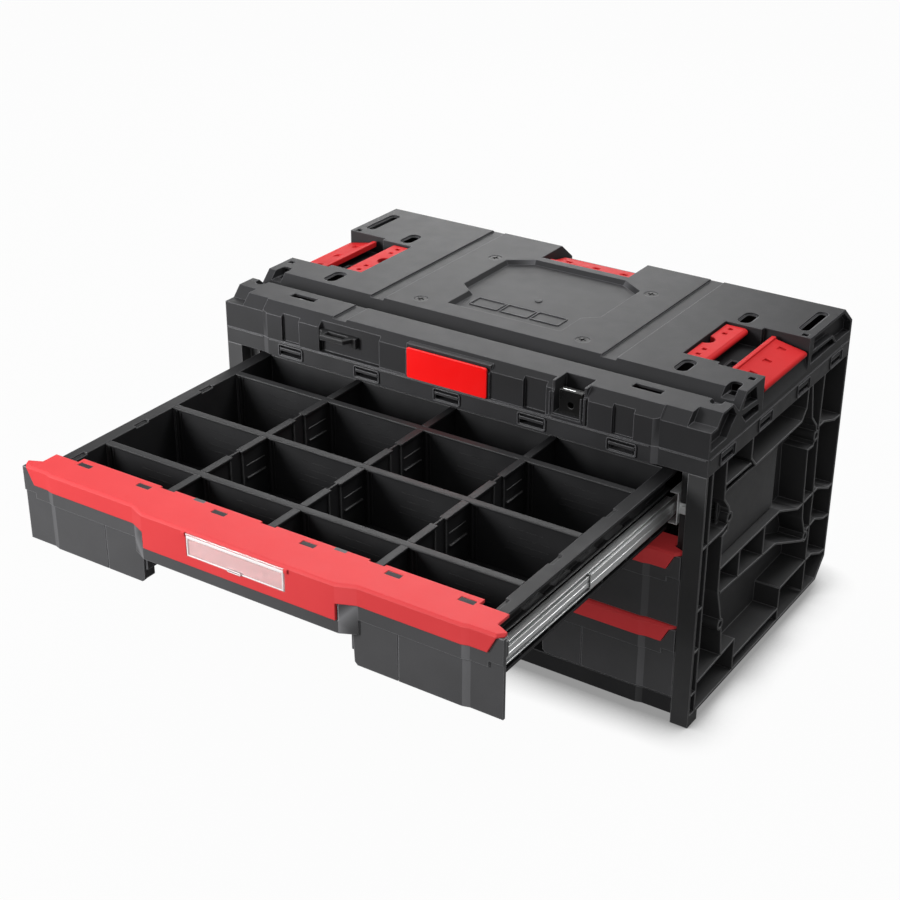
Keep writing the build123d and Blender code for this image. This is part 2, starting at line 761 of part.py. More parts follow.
        # Bores for the latch pins
        for place, hinge in hinges.items():
            with BuildSketch(hinge):
                Circle(flap_pin_radius)
            extrude(amount=well_half + wall, both=True, mode=Mode.SUBTRACT)
        for place, hinge in lever_hinges.items():
            with BuildSketch(hinge):
                Circle(lever_pin_radius)
            extrude(amount=lever_well_half + wall, both=True, mode=Mode.SUBTRACT)
        # Raised socket frame between the flap and the lever
        for sign in sides.values():
            with BuildSketch(Plane.XY.offset(lid_bottom + well_floor)):
                with Locations((sign * socket_x, socket_y)):
                    Rectangle(socket_width, socket_length)
                    Rectangle(socket_width - 2 * end_rim, socket_length - 2 * end_rim, mode=Mode.SUBTRACT)
            extrude(amount=socket_height)
    finish(top, "lid")


# Lid trim: screws, badge, padlock loop and lock plate
cross_slot_length = 8.0
cross_slot_width = 1.6
cross_slot_depth = 1.0
loop_x = -138.5
loop_half = 23.5
loop_tip_half = 15.0
loop_reach = 17.0
loop_level = 21.0
loop_height = 5.0
loop_band = 4.5
loop_ear_drop = 7.0
loop_ear_width = 6.0
lock_plate_half = 13.0
lock_plate_height = 25.0
lock_plate_sheet = 2.0
lock_plate_setback = 5.0
lock_hole_radius = 3.5
lock_hole_share = 0.4
lock_foot = 8.0


def lid_trim():
    with BuildPart() as screws:
        for sign in sides.values():
            for y in (deck_screw_front, deck_screw_back):
                top = Plane((sign * deck_screw_x, y, cabinet_height - lid_screw_sink))
                with BuildSketch(top):
                    Circle(lid_screw_head)
                extrude(amount=lid_screw_sink - seat_gap)
                with BuildSketch(top):
                    Circle(lid_screw_radius)
                extrude(amount=-(lid_screw_length - lid_screw_sink - seat_gap))
                with BuildSketch(top.offset(lid_screw_sink - seat_gap)):
                    Rectangle(cross_slot_length, cross_slot_width)
                    Rectangle(cross_slot_width, cross_slot_length)
                extrude(amount=-cross_slot_depth, mode=Mode.SUBTRACT)
    finish(screws, "lid_screws")

    with BuildPart() as badge:
        low = lid_bottom + badge_low
        block((-badge_half, face_y - badge_thickness, low), (badge_half, face_y, low + badge_height))
        fillet(badge.edges().filter_by(Axis.Y), badge_border)
    finish(badge, "front_badge")

    seat = face_y + face_pocket_depth
    with BuildPart() as loop:
        level = Plane.XY.offset(lid_bottom + loop_level)
        tip = seat - loop_reach
        with BuildSketch(level):
            with BuildLine():
                Polyline(
                    (loop_x - loop_half, seat),
                    (loop_x - loop_tip_half, tip),
                    (loop_x + loop_tip_half, tip),
                    (loop_x + loop_half, seat),
                    close=True,
                )
            make_face()
            with Locations((loop_x, (seat + tip) / 2)):
                Rectangle(2 * loop_tip_half - loop_band, loop_reach - 2 * loop_band, mode=Mode.SUBTRACT)
        extrude(amount=loop_height)
        for sign in sides.values():
            x = loop_x + sign * (loop_half - loop_ear_width / 2)
            block((x - loop_ear_width / 2, seat - loop_ear_width, lid_bottom + loop_level - loop_ear_drop),
                  (x + loop_ear_width / 2, seat, lid_bottom + loop_level + loop_height))
    finish(loop, "padlock_loop")

    with BuildPart() as lock:
        low = lid_bottom + lock_low
        y = face_y + lock_plate_setback
        x0, x1 = lock_x - lock_plate_half, lock_x + lock_plate_half
        high = low + lock_plate_height
        block((x0, y, low), (x1, y + lock_plate_sheet, high))
        block((x0, y, low), (x1, front_y + lock_depth, low + lock_plate_sheet))
        block((x0, y, high - lock_plate_sheet), (x1, y + lock_foot, high))
        with BuildSketch(Plane.XZ.offset(-y)):
            with Locations((lock_x, low + lock_plate_height * lock_hole_share)):
                Circle(lock_hole_radius)
        extrude(amount=-lock_plate_sheet, mode=Mode.SUBTRACT)
    finish(lock, "lock_plate")


# Telescopic rails: a wide cabinet channel, a middle channel and a banded drawer channel, nested
seat_x = bay_half - rail_sheet * 2 - 3 * (rail_sheet + rail_race)
rail_half = rail_height / 2
drawer_rail_half = 11.0
drawer_flange = 7.3
drawer_band = 7.6
band_groove = 2.4
band_groove_depth = 0.7
middle_half = drawer_rail_half - rail_sheet - rail_race
band_half = middle_half - rail_sheet - rail_play
middle_web = seat_x + drawer_band + rail_play + rail_sheet
middle_tip = seat_x + rail_sheet + rail_race - rail_play
cabinet_tip = seat_x + rail_sheet + rail_race
tab_height = 12.0
tab_width = 10.0
cage_length = 80.0
cage_play = 0.2
cage_lead = 35.0
cage_width = 3.0
cage_half = 5.0


def channel(side, web, tip, half, z, y_start):
    """A C-section rail: a web beside one wall and two flanges that end at the tip."""
    toward = 1 if tip > web else -1
    inner_web = web + toward * rail_sheet
    section = [
        (web, half),
        (tip, half),
        (tip, half - rail_sheet),
        (inner_web, half - rail_sheet),
        (inner_web, rail_sheet - half),
        (tip, rail_sheet - half),
        (tip, -half),
        (web, -half),
    ]
    profile = [(side * x, z + dz) for x, dz in section]
    plate(Plane.XZ.offset(-y_start - rail_length), profile, rail_length)


def long_groove(side, face, z, y_start):
    """A shallow groove along the outer face of a rail."""
    low, high = on_side(side, face - band_groove_depth, face + rail_play / 2)
    block((low, y_start, z - band_groove / 2), (high, y_start + rail_length, z + band_groove / 2),
          mode=Mode.SUBTRACT)


def slide(name, level, opened):
    z = drawer_base(level) + rail_level
    start = front_y + rail_setback
    middle_start = start - opened / 2
    drawer_start = start - opened
    for hand, side in sides.items():
        with BuildPart() as cabinet_rail:
            channel(side, bay_half, cabinet_tip, rail_half, z, start)
            low, high = on_side(side, bay_half - rail_sheet, bay_half + tab_width)
            block((low, step_y - rail_sheet, z - tab_height / 2), (high, step_y, z + tab_height / 2))
            with BuildSketch(Plane.XZ.offset(-step_y)):
                with Locations((side * tab_screw_x, z)):
                    Circle(screw_radius + screw_clearance)
            extrude(amount=rail_sheet, mode=Mode.SUBTRACT)
        finish(cabinet_rail, f"{name}_{hand}_cabinet_rail")
        with BuildPart() as middle_rail:
            channel(side, middle_web, middle_tip, middle_half, z, middle_start)
            long_groove(side, middle_web, z, middle_start)
        finish(middle_rail, f"{name}_{hand}_middle_rail")
        with BuildPart() as drawer_rail:
            channel(side, seat_x, seat_x + drawer_flange, drawer_rail_half, z, drawer_start)
            low, high = on_side(side, seat_x, seat_x + drawer_band)
            block((low, drawer_start, z - band_half), (high, drawer_start + rail_length, z + band_half))
            long_groove(side, seat_x + drawer_band, z, drawer_start)
        finish(drawer_rail, f"{name}_{hand}_drawer_rail")
    # Ball cages run in the races beside the middle rails, which carry them
    with BuildPart() as cages:
        inner_cage = middle_start + cage_lead
        outer_cage = middle_start + rail_length - cage_lead - cage_length
        inner_x = middle_tip + rail_play
        outer_web = bay_half - rail_sheet
        for side in sides.values():
            low, high = on_side(side, inner_x, inner_x + cage_width)
            for sign in (-1, 1):
                z_mid = z + sign * (middle_half + rail_race / 2)
                block((low, inner_cage, z_mid - rail_race / 2 + cage_play),
                      (high, inner_cage + cage_length, z_mid + rail_race / 2 - cage_play))
            low, high = on_side(side, middle_web + cage_play, outer_web - cage_play)
            block((low, outer_cage, z - cage_half), (high, outer_cage + cage_length, z + cage_half))
    finish(cages, f"{name}_ball_cages")


def rail_screws():
    with BuildPart() as screws:
        for level in range(len(drawer_names)):
            for side in sides.values():
                place = (side * tab_screw_x, drawer_base(level) + rail_level)
                with BuildSketch(Plane.XZ.offset(-step_y + rail_sheet)):
                    with Locations(place):
                        Circle(screw_head_radius)
                extrude(amount=screw_head_height)
                with BuildSketch(Plane.XZ.offset(-step_y + rail_sheet)):
                    with Locations(place):
                        Circle(screw_radius)
                extrude(amount=-(rail_sheet + wall))
    finish(screws, "rail_screws")


# Drawer tray
tray_floor = 3.0
tray_rim_reach = 14.5
tray_rim_height = 3.0
tray_seat_half = 10.0
tray_ledge = 3.0
tray_ledge_reach = 8.5
tray_rib_start = 38.0
tray_rib_pitch = 48.0
tray_rib_count = 6
flange_level = 55.5
flange_height = 2.0
flange_slot = 33.0
rim_notch_length = 18.0
rim_notch_reach = 4.5
rim_notch_depth = 2.0
rim_front_length = 22.0
divider_y = [-93.0, 6.0, 106.0]
divider_x = [-120.0, 0.0, 120.0]
divider_wall = 2.0
divider_bar = 8.0
divider_bar_height = 2.5
guide_width = 2.0
guide_depth = 2.0
clip_width = 16.0
clip_length = 7.0
clip_play = 0.4
clip_setback = 28.5
clip_arm = 8.0
clip_x = [51.0, 143.0, 218.0]
handle_top = 82.5


def tray(name, base, front):
    y0 = front + tray_setback
    y1 = y0 + tray_length
    z0 = base + tray_bottom
    z1 = base + tray_top
    outer = tray_half + tray_wall
    ledge = tray_half + tray_ledge_reach
    z_seat = base + rail_level
    seat_low = z_seat - tray_seat_half
    flange = base + flange_level
    rib_y = [y0 + tray_rib_start + step * tray_rib_pitch for step in range(tray_rib_count)]
    bars = [y - front_y + front for y in divider_y]
    with BuildPart() as box:
        block((-outer, y0, z0), (outer, y1, z1))
        block((-tray_half, y0 + tray_wall, z0 + tray_floor), (tray_half, y1 - tray_wall, z1 + overrun),
              mode=Mode.SUBTRACT)
        for side in sides.values():
            # Rim, slotted flange, rail seat and bottom ledge along the outside
            for reach, z_low, z_high in ((tray_half + tray_rim_reach, z1 - tray_rim_height, z1),
                                         (ledge, flange, flange + flange_height),
                                         (seat_x, seat_low, z_seat + tray_seat_half),
                                         (ledge, z0, z0 + tray_ledge)):
                low, high = on_side(side, outer, reach)
                block((low, y0, z_low), (high, y1, z_high))
            low, high = on_side(side, outer, seat_x)
            for y in rib_y:
                block((low, y - tray_wall / 2, z0), (high, y + tray_wall / 2, seat_low))
                middle = y + tray_rib_pitch / 2
                if middle + flange_slot / 2 < y1:
                    block((low, middle - flange_slot / 2, flange),
                          (high, middle + flange_slot / 2, flange + flange_height), mode=Mode.SUBTRACT)
            # Notches in the inner edge of the rim
            low, high = on_side(side, tray_half - overrun, tray_half + rim_notch_reach)
            notches = [(y0 + tray_wall, y0 + rim_front_length)]
            for a, b in zip(bars, bars[1:]):
                notches.append(((a + b - rim_notch_length) / 2, (a + b + rim_notch_length) / 2))
            for a, b in notches:
                block((low, a, z1 - rim_notch_depth), (high, b, z1 + overrun), mode=Mode.SUBTRACT)
            # Guides that hold the ends of the long dividers
            low, high = on_side(side, tray_half, tray_half - guide_depth)
            for y in bars:
                for sign in (-1, 1):
                    middle = y + sign * (divider_wall / 2 + seat_gap + guide_width / 2)
                    block((low, middle - guide_width / 2, z0 + tray_floor),
                          (high, middle + guide_width / 2, z1 - divider_bar_height - seat_gap))
            # Clip tabs that show in the windows of the handle
            for x in clip_x:
                low = side * x - clip_width / 2 + clip_play
                high = side * x + clip_width / 2 - clip_play
                y_clip = front + clip_setback
                block((low, y_clip - clip_length / 2 + clip_play, z1 - clip_arm),
                      (high, y_clip + clip_length / 2 - clip_play, base + handle_top - seat_gap))
                block((low, y_clip, z1 - clip_arm), (high, y0, z1 - clip_arm / 2))
    finish(box, f"{name}_tray")


# Drawer front: two legs, a collar and a centre strip above the finger gap
leg_inner = 122.0
leg_slant = 2.0
ear_slant = 6.0
leg_height = 48.0
collar_height = 15.0
front_step = 2.0
collar_proud = 1.5
collar_outer = 258.0
centre_start = 128.0
centre_half = 112.0
centre_proud = 11.0
strip_low = 33.0
strip_height = 13.0
ear_low = 54.0
ear_inner = 256.0
gusset = 2.5
gusset_x = [119.5, 195.0, 236.0]
hook_x = 262.0
hook_radius = 9.5
hook_run = 2.0
hook_low = 59.0
hook_height = 15.5
leg_corner = 3.0
leg_return = 14.0


def band(points, thickness):
    """A plan band: a front line and the same line moved back by the thickness."""
    return points + [(x, y + thickness) for x, y in reversed(points)]


def front_panel(name, base, front):
    top = leg_height + collar_height
    inner_y = front - front_step
    with BuildPart() as panel:
        for side in sides.values():
            leg = [(front_half, front), (step_outer, front), (step_inner, inner_y)]
            plate(Plane.XY.offset(base), [(side * x, y) for x, y in band(leg, front_wall)], top)
            cheek = [
                (step_inner, 0),
                (leg_inner + leg_corner, 0),
                (leg_inner, leg_corner),
                (leg_inner - leg_slant, leg_height),
                (leg_inner - leg_slant, top),
                (step_inner, top),
            ]
            cheek_face = [(side * x, base + z) for x, z in cheek]
            plate(Plane.XZ.offset(-inner_y - front_wall), cheek_face, front_wall)
            low, high = on_side(side, leg_inner, leg_inner + front_wall)
            block((low, inner_y, base + leg_corner), (high, inner_y + leg_return, base + leg_height))
            seam = side * seam_place
            block((seam - seam_width / 2, inner_y - overrun, base),
                  (seam + seam_width / 2, inner_y + seam_depth, base + leg_height), mode=Mode.SUBTRACT)
            collar = [
                (collar_outer, front - collar_proud),
                (step_outer, front - collar_proud),
                (step_inner, inner_y - collar_proud),
                (centre_start, inner_y - collar_proud),
            ]
            collar_plan = [(side * x, y) for x, y in band(collar, front_wall)]
            plate(Plane.XY.offset(base + leg_height), collar_plan, collar_height)
            turn = [(centre_start, inner_y - collar_proud), (centre_half, front - centre_proud)]
            plate(Plane.XY.offset(base + strip_low), [(side * x, y) for x, y in band(turn, front_wall * 2)],
                  top - strip_low)
            ear = [
                (ear_inner, ear_low),
                (front_half, ear_low),
                (front_half, tray_top),
                (front_half - ear_slant, tray_top),
                (collar_outer, top),
                (ear_inner, top),
            ]
            plate(Plane.XZ.offset(-front - front_wall), [(side * x, base + z) for x, z in ear],
                  front_wall + collar_proud)
            for x in gusset_x:
                block((side * x - gusset / 2, inner_y + front_wall / 2, base + tray_bottom),
                      (side * x + gusset / 2, front + tray_setback, base + top))
            # Hooked guide at the front end of the slide
            with BuildSketch(Plane.XY.offset(base + hook_low)):
                with Locations((side * hook_x, front + front_wall + hook_run)):
                    Circle(hook_radius)
                    with Locations((0, -hook_run / 2)):
                        Rectangle(2 * hook_radius, hook_run)
                    Circle(hook_radius - gusset, mode=Mode.SUBTRACT)
                    with Locations((0, -hook_run - hook_radius)):
                        Rectangle(4 * hook_radius, 2 * hook_radius, mode=Mode.SUBTRACT)
                    with Locations((0, -hook_run / 2)):
                        Rectangle(2 * (hook_radius - gusset), hook_run, mode=Mode.SUBTRACT)
            extrude(amount=hook_height)
        strip = [(centre_half, front - centre_proud), (-centre_half, front - centre_proud)]
        plate(Plane.XY.offset(base + strip_low), band(strip, front_wall), strip_height)
        web_high = base + strip_low + strip_height
        block((-centre_half, front - centre_proud, web_high - front_wall),
              (centre_half, front + tray_setback, web_high))
    finish(panel, f"{name}_front_panel")


# Red handle cap with the label seat
red_proud = 3.0
red_outer = 266.0
red_centre_half = 110.0
red_centre_proud = 12.5
red_wall = 3.0
red_rear = 38.0
red_rear_step = 30.0
red_rear_x = 229.0
red_end_x = 258.0
red_tip_x = 271.0
red_tip_rear = 12.0
red_tip_front = 2.0
red_chamfer = 2.4
red_end_gap = 0.7
red_notch = 17.0
red_notch_depth = 3.0
label_half = 56.0
label_sink = 2.0
window_barrel = 1.2
window_pin = 0.8
window_sheet = 1.0
window_gap = 0.3
window_hinge = tray_top - window_gap - window_barrel
window_low = 56.0
window_tab_half = 8.0
window_tab = 3.0
window_tab_proud = 1.5
ear_width = 4.0
ear_half_height = 2.0
ear_play = 0.4
label_low = window_low - ear_play


def handle_line(front):
    inner_y = front - front_step - red_proud
    return [
        (red_outer, front - red_proud),
        (step_outer, front - red_proud),
        (step_inner, inner_y),
        (centre_start, inner_y),
        (red_centre_half, front - red_centre_proud),
    ]


def handle(name, base, front):
    line = handle_line(front)
    top = base + handle_top
    skirt_low = base + leg_height + collar_height
    centre_low = base + strip_low + strip_height
    z_hinge = base + window_hinge
    y_hinge = front - red_centre_proud + label_sink - window_gap - window_barrel
    with BuildPart() as cap:
        rear = [
            (red_tip_x, front + red_tip_front),
            (red_tip_x, front + red_tip_rear / 2),
            (red_end_x, front + red_tip_rear),
            (red_end_x, front + red_rear_step),
            (red_rear_x, front + red_rear_step),
            (red_rear_x, front + red_rear),
        ]
        outline = mirrored(line[::-1] + rear)
        plate(Plane.XY.offset(base + tray_top), outline, top - base - tray_top)
        for side in sides.values():
            skirt = [(side * x, y) for x, y in band(line[1:4], red_wall)]
            plate(Plane.XY.offset(skirt_low), skirt, base + tray_top - skirt_low)
            # Slanted end that follows the ear of the front panel
            end = [
                (step_outer, skirt_low),
                (collar_outer - red_end_gap, skirt_low),
                (front_half - ear_slant - red_end_gap, base + tray_top),
                (step_outer, base + tray_top),
            ]
            plate(Plane.XZ.offset(red_proud - red_wall - front), [(side * x, z) for x, z in end], red_wall)
            turn = [(side * x, y) for x, y in band(line[3:], red_wall * 2)]
            plate(Plane.XY.offset(skirt_low), turn, base + tray_top - skirt_low)
        face = [line[4], (-line[4][0], line[4][1])]
        plate(Plane.XY.offset(centre_low), band(face, red_wall), base + tray_top - centre_low)
        front_edges = cap.faces().sort_by(Axis.Z)[-1].edges().filter_by(lambda edge: edge.center().Y < front)
        chamfer(front_edges, red_chamfer)
        # Clip windows, label seat and the ears of the window's hinge
        with BuildSketch(Plane.XY.offset(top)):
            for side in sides.values():
                with Locations(*[(side * x, front + clip_setback) for x in clip_x]):
                    Rectangle(clip_width, clip_length)
        extrude(amount=-(top - base - tray_top), mode=Mode.SUBTRACT)
        for x in divider_x:
            block((x - red_notch / 2, front + red_rear - red_notch_depth, base + tray_top),
                  (x + red_notch / 2, front + red_rear + overrun, top), mode=Mode.SUBTRACT)
        seat_half = label_half + ear_play
        block((-seat_half, front - red_centre_proud - overrun, base + label_low),
              (seat_half, front - red_centre_proud + label_sink, base + tray_top), mode=Mode.SUBTRACT)
        for side in sides.values():
            low, high = on_side(side, label_half + ear_play, label_half + ear_play + ear_width)
            block((low, y_hinge - ear_half_height, z_hinge - ear_half_height),
                  (high, front - red_centre_proud + red_wall, z_hinge + ear_half_height))
        with BuildSketch(Plane.YZ.offset(-label_half - ear_play - ear_width)):
            with Locations((y_hinge, z_hinge)):
                Circle(window_pin + pin_clearance)
        extrude(amount=2 * (label_half + ear_play + ear_width), mode=Mode.SUBTRACT)
    finish(cap, f"{name}_handle")

    with BuildPart() as window:
        with BuildSketch(Plane.YZ):
            with Locations((y_hinge, z_hinge)):
                Circle(window_barrel)
            with BuildLine():
                Polyline((y_hinge - window_sheet / 2, z_hinge), (y_hinge + window_sheet / 2, z_hinge),
                         (y_hinge + window_sheet / 2, base + window_low),
                         (y_hinge - window_sheet / 2, base + window_low), close=True)
            make_face()
        extrude(amount=label_half, both=True)
        with BuildSketch(Plane.YZ):
            with Locations((y_hinge, z_hinge)):
                Circle(window_pin)
        extrude(amount=label_half + ear_width, both=True)
        block((-window_tab_half, y_hinge - window_sheet / 2 - window_tab_proud, base + window_low),
              (window_tab_half, y_hinge, base + window_low + window_tab))
    finish(window, f"{name}_label_window")


# Dividers of the top drawer
middle_gap = 14.0


def dividers(name, base, front):
    z0 = base + tray_bottom + tray_floor
    z1 = base + tray_top
    shift = front - front_y
    half = tray_half - seat_gap
    for number, y in enumerate(divider_y, start=1):
        with BuildPart() as long_divider:
            y_mid = y + shift
            block((-half, y_mid - divider_wall / 2, z0), (half, y_mid + divider_wall / 2, z1))
            block((-half, y_mid - divider_bar / 2, z1 - divider_bar_height),
                  (half, y_mid + divider_bar / 2, z1))
        finish(long_divider, f"{name}_long_divider_{number}")
    tray_front = front + tray_setback + tray_wall
    tray_back = front + tray_setback + tray_length - tray_wall
    stops = [tray_front] + [y + shift for y in divider_y] + [tray_back]
    with BuildPart() as cross:
        for row in range(len(stops) - 1):
            start_wall = 0 if row == 0 else divider_wall / 2
            end_wall = 0 if row == len(stops) - 2 else divider_wall / 2
            start_bar = 0 if row == 0 else divider_bar / 2
            end_bar = 0 if row == len(stops) - 2 else divider_bar / 2
            a, b = stops[row], stops[row + 1]
            bar_low = z1 - divider_bar_height
            spans = [(a + start_bar + seat_gap, b - end_bar - seat_gap)]
            if 0 < row < len(stops) - 2:
                middle = (a + b) / 2
                spans = [(spans[0][0], middle - middle_gap / 2), (middle + middle_gap / 2, spans[0][1])]
            for x in divider_x:
                block((x - divider_wall / 2, a + start_wall + seat_gap, z0),
                      (x + divider_wall / 2, b - end_wall - seat_gap, bar_low - seat_gap))
                block((x - divider_wall / 2, a + start_bar + seat_gap, bar_low - overrun),
                      (x + divider_wall / 2, b - end_bar - seat_gap, z1))
                for low, high in spans:
                    block((x - divider_bar / 2, low, bar_low), (x + divider_bar / 2, high, z1))
    finish(cross, f"{name}_cross_dividers")


for hand, sign in sides.items():
    side_panel(f"{hand}_side_panel", sign)
base_panel()
back_panel()
body_rim()
lid()
lid_trim()
for site in hinges:
    latch_flap(site)
for site in lever_hinges:
    latch_lever(site)
rail_screws()
for place, drawer in enumerate(drawer_names):
    opened = drawer_travel if drawer == open_drawer else 0
    tray(drawer, drawer_base(place), front_y - opened)
    front_panel(drawer, drawer_base(place), front_y - opened)
    handle(drawer, drawer_base(place), front_y - opened)
    slide(drawer, place, opened)
dividers(open_drawer, drawer_base(drawer_names.index(open_drawer)), front_y - drawer_travel)
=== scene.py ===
import bpy
import bmesh
from mathutils import Matrix, Vector


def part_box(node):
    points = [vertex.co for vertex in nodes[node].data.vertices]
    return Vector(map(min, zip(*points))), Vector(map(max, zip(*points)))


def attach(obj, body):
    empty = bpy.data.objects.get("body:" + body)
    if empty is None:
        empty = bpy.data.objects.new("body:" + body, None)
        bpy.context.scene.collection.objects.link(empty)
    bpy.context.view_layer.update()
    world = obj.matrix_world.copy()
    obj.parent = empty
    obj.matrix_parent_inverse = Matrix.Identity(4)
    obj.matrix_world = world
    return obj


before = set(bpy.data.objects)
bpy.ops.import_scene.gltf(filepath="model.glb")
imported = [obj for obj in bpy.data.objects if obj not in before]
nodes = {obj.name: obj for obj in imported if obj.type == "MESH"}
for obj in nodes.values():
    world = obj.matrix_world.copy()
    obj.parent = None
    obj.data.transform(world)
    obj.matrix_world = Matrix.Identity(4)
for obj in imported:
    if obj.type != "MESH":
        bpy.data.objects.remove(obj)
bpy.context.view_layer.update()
mm = 0.001
print("frame loaded:", len(nodes), "nodes")

cameraLook = {
    "place": (0.8687, -1.4864, 1.0353),
    "right": (0.83358, 0.55239, 0.00337),
    "up": (-0.25314, 0.37655, 0.89113),
    "back": (0.49098, -0.74368, 0.45372),
    "lens": 68.06,
    "sensor": 36.0,
    "clip": (0.01, 50.0),
}


def makeCamera(look):
    data = bpy.data.cameras.new("camera")
    data.lens = look["lens"]
    data.sensor_width = look["sensor"]
    data.clip_start, data.clip_end = look["clip"]
    camera = bpy.data.objects.new("camera", data)
    bpy.context.scene.collection.objects.link(camera)
    turn = Matrix((look["right"], look["up"], look["back"])).transposed().to_4x4()
    camera.matrix_world = Matrix.Translation(look["place"]) @ turn
    bpy.context.scene.camera = camera


def addNode(tree, kind, inputs=None):
    node = tree.nodes.new("ShaderNode" + kind)
    for name, value in (inputs or {}).items():
        node.inputs[name].default_value = value
    return node


def addRange(tree, ends, results):
    return addNode(tree, "MapRange", {"From Min": ends[0], "From Max": ends[1],
                                      "To Min": results[0], "To Max": results[1]})


def addRamp(tree, ends, colours):
    ramp = addNode(tree, "ValToRGB")
    for element, position, colour in zip(ramp.color_ramp.elements, ends, colours):
        element.position = position
        element.color = (*colour, 1)
    return ramp


def join(tree, start, output, end, target):
    tree.links.new(start.outputs[output], end.inputs[target])


# White paper sweep: the camera sees clean white with a painted contact shadow near the part, the part is lit
# by a dim sky and soft lamps
studioLook = {
    "skyEnds": (0.0, 0.9),
    "sky": (0.16, 0.62),  # horizon and zenith
    "lamps": [
        # name, place, aim, size, watts
        ("backLamp", (0.7, 1.1, 2.6), (0.0, -0.15, 0.2), 1.6, 50.0),
        ("fillLamp", (-0.9, -1.6, 0.85), (0.0, -0.45, 0.2), 0.7, 29.0),
        ("sheenLamp", (-1.2, 1.85, 1.15), (0.0, -0.2, 0.25), 1.4, 18.0),
    ],
    # brightens the left end of the lid's front
    "lidLamp": {"place": (-0.85, -1.05, 0.42), "aim": (-0.28, -0.175, 0.335), "watts": 36.0, "cone": 0.38,
                "size": 0.12},
    "floorHalf": 8.0,
    "floorShade": 0.97,
    "floorTone": 0.24,
    "paintedContactShadow": {"reach": 0.05, "dark": 0.30, "from": 0.5, "samples": 16},
}


def makeWorld(look):
    world = bpy.data.worlds.new("studio")
    world.use_nodes = True
    bpy.context.scene.world = world
    tree = world.node_tree
    tree.nodes.clear()
    toward = addNode(tree, "TexCoord")
    height = addNode(tree, "SeparateXYZ")
    level = addRange(tree, look["skyEnds"], look["sky"])
    lit = addNode(tree, "Background", {"Color": (1, 1, 1, 1)})
    white = addNode(tree, "Background", {"Color": (1, 1, 1, 1), "Strength": 1.0})
    path = addNode(tree, "LightPath")
    seen = addNode(tree, "Math")
    seen.operation = "MAXIMUM"
    mix = addNode(tree, "MixShader")
    out = addNode(tree, "OutputWorld")
    join(tree, toward, "Generated", height, 0)
    join(tree, height, "Z", level, "Value")
    join(tree, level, "Result", lit, "Strength")
    join(tree, path, "Is Camera Ray", seen, 0)
    join(tree, path, "Is Transmission Ray", seen, 1)
    join(tree, seen, 0, mix, 0)
    join(tree, lit, 0, mix, 1)
    join(tree, white, 0, mix, 2)
    join(tree, mix, 0, out, "Surface")


def placeLamp(data, place, aim):
    lamp = bpy.data.objects.new(data.name, data)
    bpy.context.scene.collection.objects.link(lamp)
    turn = (Vector(aim) - Vector(place)).to_track_quat("-Z", "Y")
    lamp.matrix_world = Matrix.Translation(place) @ turn.to_matrix().to_4x4()


def makeLamps(look):
    for name, place, aim, size, watts in look["lamps"]:
        data = bpy.data.lights.new(name, "AREA")
        data.shape = "DISK"
        data.size = size
        data.energy = watts
        placeLamp(data, place, aim)
    spot = look["lidLamp"]
    data = bpy.data.lights.new("lidLamp", "SPOT")
    data.energy = spot["watts"]
    data.spot_size = spot["cone"]
    data.spot_blend = 1.0
    data.shadow_soft_size = spot["size"]
    placeLamp(data, spot["place"], spot["aim"])


def makeFloor(look):
    bm = bmesh.new()
    bmesh.ops.create_grid(bm, x_segments=1, y_segments=1, size=look["floorHalf"])
    mesh = bpy.data.meshes.new("floor")
    bm.to_mesh(mesh)
    bm.free()
    floor = bpy.data.objects.new("floor", mesh)
    bpy.context.scene.collection.objects.link(floor)
    paper = bpy.data.materials.new("floorPaper")
    paper.use_nodes = True
    tree = paper.node_tree
    tree.nodes.clear()
    paintedContactShadow = look["paintedContactShadow"]
    sheet = addNode(tree, "BsdfDiffuse", {"Color": (*[look["floorTone"]] * 3, 1)})
    glow = addNode(tree, "Emission")
    # painted shadow: ambient occlusion dims the camera-seen white of the floor near the part
    near = addNode(tree, "AmbientOcclusion", {"Distance": paintedContactShadow["reach"]})
    near.samples = paintedContactShadow["samples"]
    shade = addRange(tree, (paintedContactShadow["from"], 1.0), (paintedContactShadow["dark"], 1.0))
    path = addNode(tree, "LightPath")
    share = addNode(tree, "Math")
    share.operation = "MULTIPLY"
    share.inputs[1].default_value = look["floorShade"]
    mix = addNode(tree, "MixShader")
    out = addNode(tree, "OutputMaterial")
    join(tree, near, "AO", shade, "Value")
    join(tree, shade, "Result", glow, "Strength")
    join(tree, path, "Is Camera Ray", share, 0)
    join(tree, share, 0, mix, 0)
    join(tree, sheet, 0, mix, 1)
    join(tree, glow, 0, mix, 2)
    join(tree, mix, 0, out, "Surface")
    floor.data.materials.append(paper)
